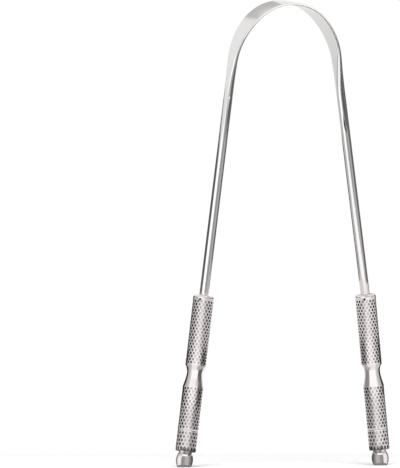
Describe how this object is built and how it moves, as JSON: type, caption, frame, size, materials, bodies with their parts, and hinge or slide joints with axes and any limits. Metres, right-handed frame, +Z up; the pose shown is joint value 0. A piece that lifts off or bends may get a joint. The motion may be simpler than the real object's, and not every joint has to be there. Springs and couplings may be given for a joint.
{
  "type": "tongue scraper",
  "caption": "Springy stainless wire bent to a U with a flat pressed crown that scrapes, and a knurled grip with a beaded end on each leg.",
  "frame": {"origin": "on the floor, at the middle of the standing tool's width and depth", "axes": "+Z up from the feet to the crown of the loop, X across the two legs, Y the depth; the scraping strip leans towards -Y"},
  "size_m": [0.0814, 0.0099, 0.1555],
  "materials": {
    "pressed_strip": "satin",
    "round_wire": "polished",
    "knurled_grip": "polished",
    "end_plug": "polished"
  },
  "bodies": {
    "strip": {"scraper_strip": "pressed_strip"},
    "left_leg": {"left_leg_wire": "round_wire", "left_grip": "knurled_grip", "left_end_plug": "end_plug"},
    "right_leg": {"right_leg_wire": "round_wire", "right_grip": "knurled_grip", "right_end_plug": "end_plug"}
  },
  "joints": [
    {"name": "left_leg_flex", "type": "hinge", "parent": "strip", "child": "left_leg", "pos_m": [-0.01079, 0.00043, 0.15053], "axis": [0, -0.9962, -0.0867], "range_deg": [-5, 8], "stiffness_Nm_per_rad": 4.3},
    {"name": "right_leg_flex", "type": "hinge", "parent": "strip", "child": "right_leg", "pos_m": [0.01233, 0.00043, 0.15053], "axis": [0, 0.9962, 0.0867], "range_deg": [-5, 8], "stiffness_Nm_per_rad": 4.3}
  ]
}
